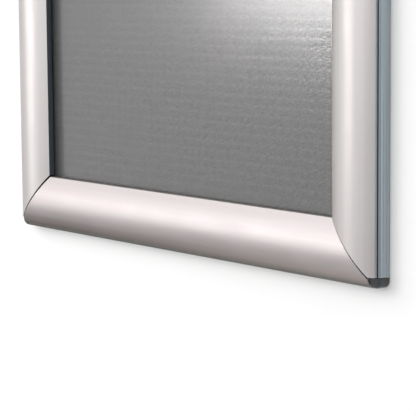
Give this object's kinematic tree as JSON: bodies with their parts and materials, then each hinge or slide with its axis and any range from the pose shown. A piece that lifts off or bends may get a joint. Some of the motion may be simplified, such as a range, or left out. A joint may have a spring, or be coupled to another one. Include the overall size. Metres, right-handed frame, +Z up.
{
  "type": "snap-open poster frame",
  "caption": "Wall-hung portrait A4 poster frame with mitred convex aluminium rails that snap open outwards on hinge beads, dark corner tips, backing panel and clear cover sheet.",
  "frame": {"origin": "middle of the top base rail's flat back face, in the plane of the wall", "axes": "+X to the viewer's right, +Y into the wall, +Z up; the front faces -Y"},
  "size_m": [0.24, 0.0093, 0.327],
  "materials": {
    "snap_rail": "satin anodised, warm silver, fine lengthwise grain",
    "base_rail": "satin anodised, seen blue-grey in the shade of the side",
    "corner": "dark grey moulded plastic, slightly glossy",
    "spring": "bare spring steel strip",
    "panel": "grey plastic sheet with a fine embossed pattern",
    "cover": "clear anti-glare plastic sheet"
  },
  "bodies": {
    "frame": {"base_rail_bottom": "base_rail", "base_rail_top": "base_rail", "base_rail_left": "base_rail", "base_rail_right": "base_rail", "corner_connector_bottom_left": "corner", "corner_connector_bottom_right": "corner", "corner_connector_top_left": "corner", "corner_connector_top_right": "corner", "leaf_spring_bottom_1": "spring", "leaf_spring_bottom_2": "spring", "leaf_spring_top_1": "spring", "leaf_spring_top_2": "spring", "leaf_spring_left_1": "spring", "leaf_spring_left_2": "spring", "leaf_spring_right_1": "spring", "leaf_spring_right_2": "spring", "back_panel": "panel", "cover_sheet": "cover"},
    "bottom_rail": {"snap_rail_bottom": "snap_rail"},
    "top_rail": {"snap_rail_top": "snap_rail"},
    "left_rail": {"snap_rail_left": "snap_rail"},
    "right_rail": {"snap_rail_right": "snap_rail"}
  },
  "joints": [
    {"name": "bottom_rail_hinge", "type": "hinge", "parent": "frame", "child": "bottom_rail", "pos_m": [0, -0.0054, -0.3137], "axis": [1, 0, 0], "range_deg": [0, 90], "deforming": ["leaf_spring_bottom_1", "leaf_spring_bottom_2"]},
    {"name": "top_rail_hinge", "type": "hinge", "parent": "frame", "child": "top_rail", "pos_m": [0, -0.0054, 0.0087], "axis": [-1, 0, 0], "range_deg": [0, 90], "deforming": ["leaf_spring_top_1", "leaf_spring_top_2"]},
    {"name": "left_rail_hinge", "type": "hinge", "parent": "frame", "child": "left_rail", "pos_m": [-0.1177, -0.0054, -0.1525], "axis": [0, 0, -1], "range_deg": [0, 90], "deforming": ["leaf_spring_left_1", "leaf_spring_left_2"]},
    {"name": "right_rail_hinge", "type": "hinge", "parent": "frame", "child": "right_rail", "pos_m": [0.1177, -0.0054, -0.1525], "axis": [0, 0, 1], "range_deg": [0, 90], "deforming": ["leaf_spring_right_1", "leaf_spring_right_2"]}
  ]
}
